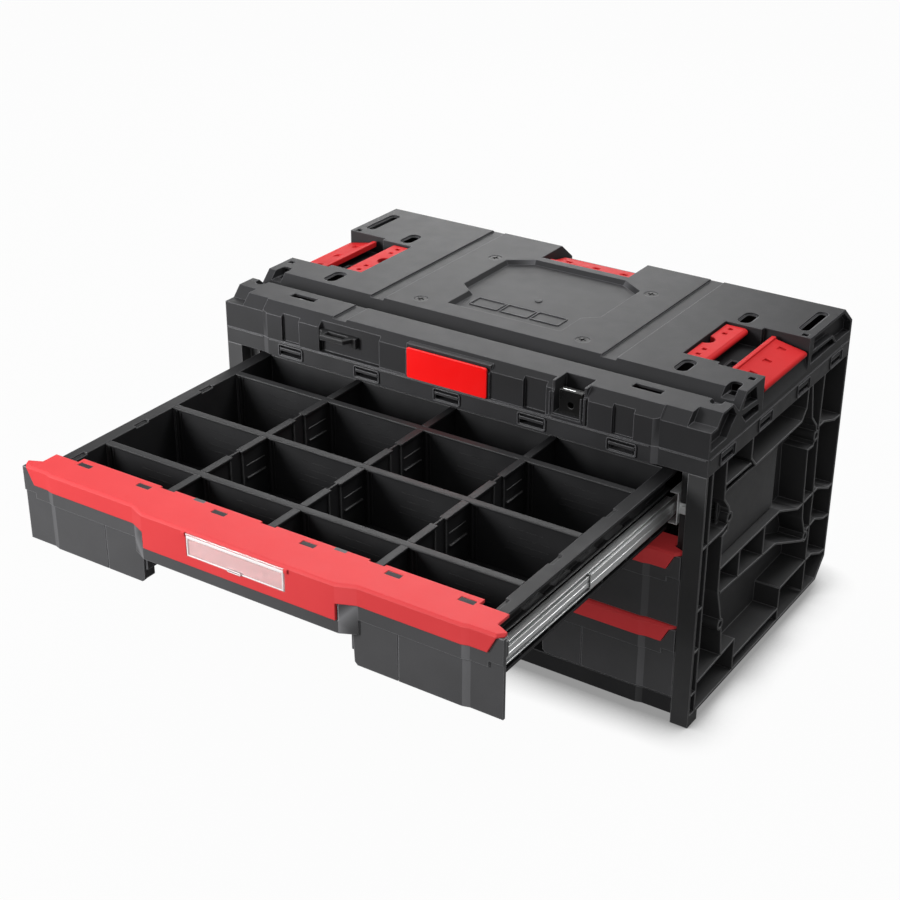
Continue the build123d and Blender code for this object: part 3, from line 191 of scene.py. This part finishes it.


# Moulded plastic: slow tone drift, patchy gloss, a fine spark-eroded grain and a painted highlight that pales
# the colour along edges
plasticLook = {
    "bodyPlastic": {"dark": (0.0165, 0.0165, 0.0171), "light": (0.0220, 0.0220, 0.0228),
                    "gloss": (0.44, 0.52), "shine": 0.24, "grain": 0.10},
    # painted light: the side panels take a lighter copy of the body plastic, standing in for the light that
    # falls on the sides
    "bodyPlasticSideLit": {"dark": (0.040, 0.040, 0.041), "light": (0.050, 0.050, 0.051),
                    "gloss": (0.44, 0.52), "shine": 0.24, "grain": 0.10},
    "lidPlastic": {"dark": (0.024, 0.024, 0.025), "light": (0.028, 0.028, 0.030),
                   "gloss": (0.45, 0.49), "shine": 0.145, "grain": 0.14},
    "rimPlastic": {"dark": (0.021, 0.021, 0.022), "light": (0.027, 0.027, 0.029),
                   "gloss": (0.42, 0.52), "shine": 0.32, "grain": 0.12},
    "frontPlastic": {"dark": (0.051, 0.051, 0.053), "light": (0.060, 0.060, 0.063),
                     "gloss": (0.40, 0.50), "shine": 0.50, "grain": 0.14},
    "trayPlastic": {"dark": (0.011, 0.011, 0.012), "light": (0.015, 0.015, 0.016),
                    "gloss": (0.46, 0.56), "shine": 0.35, "grain": 0.08},
    "barPlastic": {"dark": (0.013, 0.013, 0.014), "light": (0.018, 0.018, 0.019),
                   "gloss": (0.44, 0.50), "shine": 0.35, "grain": 0.10, "edgeHighlight": 0.12},
    "ledgePlastic": {"dark": (0.026, 0.026, 0.027), "light": (0.034, 0.034, 0.035),
                     "gloss": (0.40, 0.50), "shine": 0.50, "grain": 0.10},
    "handleRed": {"dark": (0.54, 0.036, 0.040), "light": (0.585, 0.044, 0.047),
                  "gloss": (0.44, 0.50), "shine": 0.20, "grain": 0.08, "edgeHighlight": 0.10, "glow": 0.15},
    "latchRed": {"dark": (0.51, 0.013, 0.015), "light": (0.56, 0.018, 0.020),
                 "gloss": (0.50, 0.60), "shine": 0.12, "grain": 0.08, "edgeHighlight": 0.10},
    "badgeRed": {"dark": (0.80, 0.005, 0.005), "light": (0.84, 0.007, 0.007),
                 "gloss": (0.30, 0.38), "shine": 0.25, "grain": 0.03, "glow": 0.10},
    "cardPaper": {"dark": (0.95, 0.42, 0.42), "light": (0.98, 0.48, 0.47),
                  "gloss": (0.60, 0.75), "shine": 0.20, "grain": 0.05, "glow": 0.12},
    "lockBlack": {"dark": (0.004, 0.004, 0.004), "light": (0.007, 0.007, 0.007),
                  "gloss": (0.26, 0.34), "shine": 0.30, "grain": 0.04},
    "milkEdge": {"dark": (0.84, 0.80, 0.80), "light": (0.90, 0.87, 0.87),
                 "gloss": (0.30, 0.42), "shine": 0.40, "grain": 0.04},
}
plasticGrain = {"driftScale": 14.0, "driftDetail": 5.0, "driftEnds": (0.30, 0.72),
                "patchScale": 55.0, "patchDetail": 3.0, "patchEnds": (0.3, 0.7),
                "poreScale": 1400.0, "poreDetail": 2.0, "poreDepth": 0.0004,
                "edgeReach": 0.0014, "edgeSamples": 6, "edgeHighlightEnds": (0.995, 0.90), "edgeHighlight": 0.8,
                "edgeHighlightGain": 4.0, "edgeHighlightLift": 0.03, "edgeHighlightTop": 0.9}


def newFinish(name):
    made = bpy.data.materials.new(name)
    made.use_nodes = True
    return made, made.node_tree, made.node_tree.nodes["Principled BSDF"]


def plastic(name):
    look, grain = plasticLook[name], plasticGrain
    made, tree, shader = newFinish(name)
    shader.inputs["Specular IOR Level"].default_value = look["shine"]
    # painted light: a faint emission brightens the red caps, the badge and the card paper, though they are no
    # lamp
    if "glow" in look:
        shader.inputs["Emission Color"].default_value = (*look["light"], 1)
        shader.inputs["Emission Strength"].default_value = look["glow"]
    place = addNode(tree, "TexCoord")
    drift = addNode(tree, "TexNoise", {"Scale": grain["driftScale"], "Detail": grain["driftDetail"]})
    tone = addRamp(tree, grain["driftEnds"], (look["dark"], look["light"]))
    patch = addNode(tree, "TexNoise", {"Scale": grain["patchScale"], "Detail": grain["patchDetail"]})
    gloss = addRange(tree, grain["patchEnds"], look["gloss"])
    pores = addNode(tree, "TexNoise", {"Scale": grain["poreScale"], "Detail": grain["poreDetail"]})
    relief = addNode(tree, "Bump", {"Strength": look["grain"], "Distance": grain["poreDepth"]})
    edge = addNode(tree, "Bevel", {"Radius": grain["edgeReach"]})
    edge.samples = grain["edgeSamples"]
    flat = addNode(tree, "NewGeometry")
    turned = addNode(tree, "VectorMath")
    turned.operation = "DOT_PRODUCT"
    # painted highlight: the colour turns paler where the bevel normal leans away from the face, along every
    # edge
    edgeHighlight = addRange(tree, grain["edgeHighlightEnds"], (0.0, look.get("edgeHighlight", grain["edgeHighlight"])))
    pale = [min(grain["edgeHighlightTop"], grain["edgeHighlightGain"] * part + grain["edgeHighlightLift"]) for part in look["light"]]
    blend = addNode(tree, "Mix")
    blend.data_type = "RGBA"
    blend.inputs["B"].default_value = (*pale, 1)
    for texture in (drift, patch, pores):
        join(tree, place, "Object", texture, "Vector")
    join(tree, edge, "Normal", relief, "Normal")
    join(tree, flat, "True Normal", turned, 0)
    join(tree, edge, "Normal", turned, 1)
    join(tree, turned, "Value", edgeHighlight, "Value")
    join(tree, edgeHighlight, "Result", blend, "Factor")
    join(tree, drift, "Fac", tone, "Fac")
    join(tree, tone, "Color", blend, "A")
    join(tree, blend, "Result", shader, "Base Color")
    join(tree, patch, "Fac", gloss, "Value")
    join(tree, gloss, "Result", shader, "Roughness")
    join(tree, pores, "Fac", relief, "Height")
    join(tree, relief, "Normal", shader, "Normal")
    return made


# Rolled sheet: lines along the rail in tone, gloss and relief
steelLook = {
    "railSteel": {"dark": (0.74, 0.75, 0.75), "light": (0.82, 0.83, 0.83), "gloss": (0.40, 0.46),
                  "lines": (400.0, 3.0, 400.0), "metal": 1.0},
    "zincSteel": {"dark": (0.84, 0.85, 0.85), "light": (0.93, 0.94, 0.94), "gloss": (0.34, 0.42),
                  "lines": (400.0, 30.0, 400.0), "metal": 0.35},
    "cageSteel": {"dark": (0.10, 0.10, 0.10), "light": (0.22, 0.22, 0.22), "gloss": (0.30, 0.45),
                  "lines": (300.0, 60.0, 300.0), "metal": 1.0},
    "screwSteel": {"dark": (0.010, 0.010, 0.010), "light": (0.026, 0.026, 0.026), "gloss": (0.42, 0.52),
                   "lines": (260.0, 260.0, 260.0), "metal": 1.0},
}
steelGrain = {"detail": 4.0, "toneEnds": (0.25, 0.65), "glossEnds": (0.3, 0.7), "relief": 0.015,
              "depth": 0.0002}


def steel(name):
    look, grain = steelLook[name], steelGrain
    made, tree, shader = newFinish(name)
    shader.inputs["Metallic"].default_value = look["metal"]
    place = addNode(tree, "TexCoord")
    stretch = addNode(tree, "Mapping", {"Scale": look["lines"]})
    lines = addNode(tree, "TexNoise", {"Scale": 1.0, "Detail": grain["detail"]})
    tone = addRamp(tree, grain["toneEnds"], (look["dark"], look["light"]))
    gloss = addRange(tree, grain["glossEnds"], look["gloss"][::-1])  # the paler lines are the smoother ones
    relief = addNode(tree, "Bump", {"Strength": grain["relief"], "Distance": grain["depth"]})
    join(tree, place, "Object", stretch, "Vector")
    join(tree, stretch, "Vector", lines, "Vector")
    join(tree, lines, "Fac", tone, "Fac")
    join(tree, tone, "Color", shader, "Base Color")
    join(tree, lines, "Fac", gloss, "Value")
    join(tree, gloss, "Result", shader, "Roughness")
    join(tree, lines, "Fac", relief, "Height")
    join(tree, relief, "Normal", shader, "Normal")
    return made


# Clear label cover: thin, a little frosted, with faint flow streaks
coverLook = {"tint": (0.99, 0.90, 0.90), "haze": (0.95, 0.84, 0.84), "gloss": (0.08, 0.20), "clear": 0.72,
             "bend": 1.45, "streaks": (14.0, 60.0, 60.0)}


def clearCover(look):
    made, tree, shader = newFinish("labelCover")
    shader.inputs["Transmission Weight"].default_value = look["clear"]
    shader.inputs["IOR"].default_value = look["bend"]
    place = addNode(tree, "TexCoord")
    stretch = addNode(tree, "Mapping", {"Scale": look["streaks"]})
    flow = addNode(tree, "TexNoise", {"Scale": 1.0})
    tone = addRamp(tree, (0.0, 1.0), (look["haze"], look["tint"]))
    gloss = addRange(tree, (0.0, 1.0), look["gloss"])
    join(tree, place, "Object", stretch, "Vector")
    join(tree, stretch, "Vector", flow, "Vector")
    join(tree, flow, "Fac", tone, "Fac")
    join(tree, tone, "Color", shader, "Base Color")
    join(tree, flow, "Fac", gloss, "Value")
    join(tree, gloss, "Result", shader, "Roughness")
    return made


finishes = {name: plastic(name) for name in plasticLook}
finishes.update({name: steel(name) for name in steelLook})
finishes["labelCover"] = clearCover(coverLook)
print("finishes made:", len(finishes))

# Finish of the solids: the first entry that is part of a node's name counts
nodeFinish = {"front_badge": "badgeRed", "_handle": "handleRed",
              "latch_flap": "latchRed", "latch_lever": "latchRed",
              "_cabinet_rail": "zincSteel", "rail_screws": "zincSteel", "_rail": "railSteel",
              "ball_cages": "cageSteel", "_pin": "screwSteel", "lid_screws": "screwSteel",
              "label_window": "labelCover", "lid": "lidPlastic", "lock_plate": "lockBlack",
              "body_rim": "rimPlastic", "side_panel": "bodyPlasticSideLit", "front_panel": "frontPlastic",
              "divider": "barPlastic", "_tray": "trayPlastic"}
# Edge rounding of the solids in mm, found the same way
edgeRound = {"lid": 0.9, "body_rim": 0.7, "front_panel": 0.9, "handle": 1.6, "tray": 0.6, "divider": 0.5,
             "side_panel": 0.6, "base_panel": 0.8, "latch_flap": 1.2, "latch_lever": 1.0, "front_badge": 0.5,
             "rail": 0.45, "loop": 0.6, "label_window": 0.3, "screws": 0.25}
dressLook = {"weld": 0.00001, "flat": 0.01, "steps": 2, "sharp": 0.52, "weight": 60, "finish": "bodyPlastic",
             "round": 0.4}


def firstMatch(table, name, fallback):
    return next((value for key, value in table.items() if key in name), fallback)


def dressNode(name, node, look):
    node.data.materials.clear()
    node.data.materials.append(finishes[firstMatch(nodeFinish, name, look["finish"])])
    weld = node.modifiers.new("weld", "WELD")
    weld.merge_threshold = look["weld"]
    plane = node.modifiers.new("planes", "DECIMATE")
    plane.decimate_type = "DISSOLVE"
    plane.angle_limit = look["flat"]
    edge = node.modifiers.new("edges", "BEVEL")
    edge.width = firstMatch(edgeRound, name, look["round"]) * mm
    edge.segments = look["steps"]
    edge.limit_method = "ANGLE"
    edge.angle_limit = look["sharp"]
    edge.use_clamp_overlap = True
    even = node.modifiers.new("shading", "WEIGHTED_NORMAL")
    even.weight = look["weight"]
    even.keep_sharp = False


for name, node in nodes.items():
    dressNode(name, node, dressLook)
print("nodes dressed")

edgeSteps, cornerSteps, rodSides = 2, 4, 20


def softBox(bm, low, high, soft):
    size = Vector(high) - Vector(low)
    middle = (Vector(high) + Vector(low)) / 2
    place = Matrix.Translation(middle * mm) @ Matrix.Diagonal((*(size * mm), 1.0))
    made = bmesh.ops.create_cube(bm, size=1.0, matrix=place)
    edges = list({edge for vert in made["verts"] for edge in vert.link_edges})
    bmesh.ops.bevel(bm, geom=edges, offset=soft * mm, offset_type="OFFSET", segments=edgeSteps, profile=0.5,
                    affect="EDGES", clamp_overlap=True, material=-1)


def softRing(bm, place, length, height, corner, band, thick):
    ring = bmesh.new()
    bmesh.ops.create_grid(ring, x_segments=1, y_segments=1, size=0.5,
                          matrix=Matrix.Diagonal((length * mm, height * mm, 1.0, 1.0)))
    bmesh.ops.bevel(ring, geom=ring.verts[:], offset=corner * mm, offset_type="OFFSET", segments=cornerSteps,
                    profile=0.5, affect="VERTICES", clamp_overlap=True, material=-1)
    border = bmesh.ops.inset_region(ring, faces=ring.faces[:], thickness=band * mm, use_boundary=True,
                                    use_even_offset=True)["faces"]
    bmesh.ops.delete(ring, geom=[face for face in ring.faces if face not in border], context="FACES")
    bmesh.ops.solidify(ring, geom=ring.faces[:], thickness=thick * mm)
    lift = -min(vert.co.z for vert in ring.verts)  # foot on the plane it stands on
    bmesh.ops.transform(ring, matrix=place @ Matrix.Translation((0, 0, lift)), verts=ring.verts[:])
    bmesh.ops.recalc_face_normals(ring, faces=ring.faces[:])
    kept = bpy.data.meshes.new("ring")
    ring.to_mesh(kept)
    ring.free()
    bm.from_mesh(kept)
    bpy.data.meshes.remove(kept)


def softRod(bm, place, radius, length, soft):
    made = bmesh.ops.create_cone(bm, cap_ends=True, segments=rodSides, radius1=radius * mm,
                                 radius2=radius * mm, depth=length * mm, matrix=place)
    rims = {edge for vert in made["verts"] for edge in vert.link_edges if len(edge.link_faces) == 2
            and any(len(face.verts) > 4 for face in edge.link_faces)}
    bmesh.ops.bevel(bm, geom=list(rims), offset=soft * mm, offset_type="OFFSET", segments=edgeSteps,
                    profile=0.5, affect="EDGES", clamp_overlap=True, material=-1)


def newPiece(name, bm, finish, body):
    mesh = bpy.data.meshes.new(name)
    bm.to_mesh(mesh)
    bm.free()
    mesh.materials.append(finishes[finish])
    piece = bpy.data.objects.new(name, mesh)
    bpy.context.scene.collection.objects.link(piece)
    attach(piece, body)
    return piece


drawers = ("bottom", "middle", "top")
capProud = 11.0  # how far the front panel's collar stands out from the drawer's front plane
forward = Matrix(((1, 0, 0), (0, 0, -1), (0, 1, 0))).to_4x4()  # stands a flat shape on the front


def drawerPlace(drawer):
    low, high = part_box(drawer + "_front_panel")
    return low.y / mm + capProud, low.z / mm  # front plane and base of the drawer


# Paper card behind the clear cover and the milky frame around the cover
labelLook = {"half": 55.2, "low": 56.6, "high": 76.8, "cardFace": 11.1, "cardBack": 10.45,
             "frameFace": 12.95, "frameBack": 12.4, "side": 1.5, "bottom": (56.2, 57.7), "top": (74.2, 77.2),
             "tabHalf": 7.6, "tab": (56.2, 58.9), "tabFace": 14.35, "tabBack": 13.9, "tabBand": 0.7,
             "tabCorner": 1.0, "soft": 0.2}


def makeLabels(look):
    for drawer in drawers:
        front, base = drawerPlace(drawer)
        bm = bmesh.new()
        softBox(bm, (-look["half"], front - look["cardFace"], base + look["low"]),
                (look["half"], front - look["cardBack"], base + look["high"]), look["soft"])
        newPiece(drawer + "LabelCard", bm, "cardPaper", drawer + "_drawer")
        bm = bmesh.new()
        faceY, backY = front - look["frameFace"], front - look["frameBack"]
        for low, high in (look["bottom"], look["top"]):
            softBox(bm, (-look["half"], faceY, base + low), (look["half"], backY, base + high), look["soft"])
        for side in (-1, 1):
            edges = sorted((side * look["half"], side * (look["half"] - look["side"])))
            softBox(bm, (edges[0], faceY, base + look["bottom"][1]), (edges[1], backY, base + look["top"][0]),
                    look["soft"])
        low, high = look["tab"]
        spot = Vector((0, front - look["tabBack"], base + (low + high) / 2)) * mm
        softRing(bm, Matrix.Translation(spot) @ forward, 2 * look["tabHalf"], high - low, look["tabCorner"],
                 look["tabBand"], look["tabFace"] - look["tabBack"])
        newPiece(drawer + "WindowFrame", bm, "milkEdge", drawer + "_window")


makeLabels(labelLook)
print("labels made")

# Raised outlines round the snap windows and a bead along the head of the rim
snapLook = {"frontShares": (-0.69, -0.345, 0.0, 0.345, 0.69), "sideShares": (-0.76, -0.26, 0.28, 0.78),
            "length": 33.0, "height": 14.6, "corner": 2.6, "band": 1.3, "thick": 1.3, "level": 8.8,
            "barProud": 1.2, "beadDrop": (2.2, 0.9), "beadProud": 0.7, "beadDepth": 0.6, "beadHalf": 231.0,
            "wing": (241.0, 290.0), "wingBack": 2.0, "sideEnd": 172.0, "soft": 0.25}


def makeSnapFrames(look):
    low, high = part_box("body_rim")
    level = low.z / mm + look["level"]
    faceY, sideX = low.y / mm + look["barProud"], high.x / mm
    shape = [look[key] for key in ("length", "height", "corner", "band", "thick")]
    bm = bmesh.new()
    for share in look["frontShares"]:
        spot = Vector((share * sideX, faceY, level)) * mm
        softRing(bm, Matrix.Translation(spot) @ forward, *shape)
    foot, head = (high.z / mm - drop for drop in look["beadDrop"])
    half, proud, depth = look["beadHalf"], look["beadProud"], look["beadDepth"]
    softBox(bm, (-half, faceY - proud, foot), (half, faceY + depth, head), look["soft"])
    for side in (-1, 1):
        turn = Matrix(((0, 0, side), (side, 0, 0), (0, 1, 0))).to_4x4()
        for share in look["sideShares"]:
            spot = Vector((side * sideX, share * high.y / mm, level)) * mm
            softRing(bm, Matrix.Translation(spot) @ turn, *shape)
        wingY = faceY + look["wingBack"]
        start, end = sorted(side * reach for reach in look["wing"])
        softBox(bm, (start, wingY - proud, foot), (end, wingY + depth, head), look["soft"])
        start, end = sorted((side * (sideX - depth), side * (sideX + proud)))
        softBox(bm, (start, -look["sideEnd"], foot), (end, look["sideEnd"], head), look["soft"])
    newPiece("snapFrames", bm, "rimPlastic", "cabinet")


makeSnapFrames(snapLook)
print("snap frames made")

# Three plain frames and a gate mark on the floor of the deck field
deckLook = {"places": (-38.0, 0.0, 38.0), "y": -40.0, "z": 343.0, "length": 35.5, "height": 22.0,
            "corner": 2.0, "band": 1.2, "thick": 0.9, "mark": (3.0, -2.0), "markRadius": 4.0,
            "markLength": 1.8, "markSoft": 0.3}


def makeDeckFrames(look):
    bm = bmesh.new()
    for x in look["places"]:
        spot = Vector((x, look["y"], look["z"])) * mm
        softRing(bm, Matrix.Translation(spot), look["length"], look["height"], look["corner"], look["band"],
                 look["thick"])
    spot = Vector((*look["mark"], look["z"])) * mm
    softRod(bm, Matrix.Translation(spot), look["markRadius"], look["markLength"], look["markSoft"])
    newPiece("deckFrames", bm, "lidPlastic", "cabinet")


makeDeckFrames(deckLook)
print("deck frames made")

# Rods, ribs and ledges moulded on the dividers beside each crossing
dividerLook = {"xs": (-120.0, 0.0, 120.0), "wallX": -240.0, "wall": 1.0, "floor": 17.0,
               "rod": 1.7, "rodX": 6.0, "rodTop": 5.0, "rodOut": 1 / 3, "rodSoft": 0.7,
               "rib": 1.4, "ribX": 10.5, "ribReach": 0.9,
               "ledgeStart": 15.5, "ledgeEnd": 6.0, "ledges": ((22.0, 0.5), (35.0, 2.0)), "ledgeHeight": 1.5,
               "slotRibs": (-9.0, 9.0), "slotRib": 1.8, "slotReach": 1.7, "slotTop": 4.5,
               "lines": ((45, 82, 17.0), (52, 90, 25.0), (43, 89, 32.5), (41, 85, 39.5)),
               "lineHeight": 0.8, "lineReach": 0.2, "soft": 0.2}


def makeDividerTrim(look):
    floorZ = drawerPlace("top")[1] + look["floor"]
    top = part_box("top_tray")[1].z / mm
    rodHead = top - look["rodTop"]
    height = rodHead - floorZ
    rows = []
    trim = bmesh.new()
    for number in (1, 2, 3):
        low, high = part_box(f"top_long_divider_{number}")
        y = (low.y + high.y) / 2 / mm
        rows.append(y)
        for side in (-1, 1):
            face = y + side * look["wall"]
            rodY = face + side * look["rod"] * look["rodOut"]
            out = face + side * look["ribReach"]
            for x in (low.x / mm - look["rodX"] / 2, *look["xs"]):
                spot = Vector((x + look["rodX"], rodY, floorZ + height / 2)) * mm
                softRod(trim, Matrix.Translation(spot), look["rod"], height, look["rod"] * look["rodSoft"])
                middle = x + look["ribX"]
                softBox(trim, (middle - look["rib"] / 2, min(face, out), floorZ),
                        (middle + look["rib"] / 2, max(face, out), rodHead), look["soft"])
            out = face + side * look["lineReach"]
            for x in (look["wallX"], *look["xs"]):
                for start, end, drop in look["lines"]:
                    softBox(trim, (x + start, min(face, out), top - drop - look["lineHeight"]),
                            (x + end, max(face, out), top - drop), look["soft"] / 2)
    newPiece("dividerRods", trim, "barPlastic", "top_drawer")
    ledges = bmesh.new()
    for start, end in zip(rows, rows[1:]):
        middle = (start + end) / 2
        for x in look["xs"]:
            for side in (-1, 1):
                face = x + side * look["wall"]
                for drop, reach in look["ledges"]:
                    out = face + side * reach
                    softBox(ledges,
                            (min(face, out), middle + look["ledgeStart"], top - drop - look["ledgeHeight"]),
                            (max(face, out), end - look["ledgeEnd"], top - drop), look["soft"])
                out = face + side * look["slotReach"]
                for shift in look["slotRibs"]:
                    foot, head = (middle + shift + way * look["slotRib"] / 2 for way in (-1, 1))
                    softBox(ledges, (min(face, out), foot, floorZ),
                            (max(face, out), head, top - look["slotTop"]), look["soft"])
    newPiece("dividerLedges", ledges, "ledgePlastic", "top_drawer")


makeDividerTrim(dividerLook)
print("divider trim made")

# Grey stop tabs that stand out behind the red cap of each drawer
tabLook = {"places": (-81.0, 81.0), "half": 6.6, "y": (33.8, 38.2), "z": (79.3, 82.7), "soft": 0.5}


def makeStopTabs(look):
    for drawer in drawers:
        front, base = drawerPlace(drawer)
        bm = bmesh.new()
        for x in look["places"]:
            softBox(bm, (x - look["half"], front + look["y"][0], base + look["z"][0]),
                    (x + look["half"], front + look["y"][1], base + look["z"][1]), look["soft"])
        newPiece(drawer + "StopTabs", bm, "frontPlastic", drawer + "_drawer")


makeStopTabs(tabLook)
print("stop tabs made")

# A pale steel strip as a painted highlight on the lock plate's upper edge, and the raised frame round its
# pocket
lockLook = {"x": 138.5, "half": 7.0, "y": (-170.2, -169.2), "z": (336.9, 337.4), "soft": 0.15,
            "frameHalf": 18.2, "frameBand": 1.8, "frameY": (-178.0, -176.6), "frameZ": (310.2, 334.5)}


def makeLockTrim(look):
    bm = bmesh.new()
    # painted highlight: a pale steel strip along the plate's top edge
    softBox(bm, (look["x"] - look["half"], look["y"][0], look["z"][0]),
            (look["x"] + look["half"], look["y"][1], look["z"][1]), look["soft"])
    newPiece("lockEdgeHighlight", bm, "railSteel", "cabinet")
    bm = bmesh.new()
    (faceY, backY), (low, high), band = look["frameY"], look["frameZ"], look["frameBand"]
    for side in (-1, 1):
        edges = sorted((look["x"] + side * look["frameHalf"], look["x"] + side * (look["frameHalf"] - band)))
        softBox(bm, (edges[0], faceY, low), (edges[1], backY, high), look["soft"])
    softBox(bm, (look["x"] - look["frameHalf"], faceY, low - band),
            (look["x"] + look["frameHalf"], backY, low), look["soft"])
    newPiece("lockFrame", bm, "lidPlastic", "cabinet")


makeLockTrim(lockLook)
print("lock trim made")

bpy.context.scene.view_settings.view_transform = "Standard"
makeCamera(cameraLook)
makeWorld(studioLook)
makeLamps(studioLook)
makeFloor(studioLook)
print("studio made")
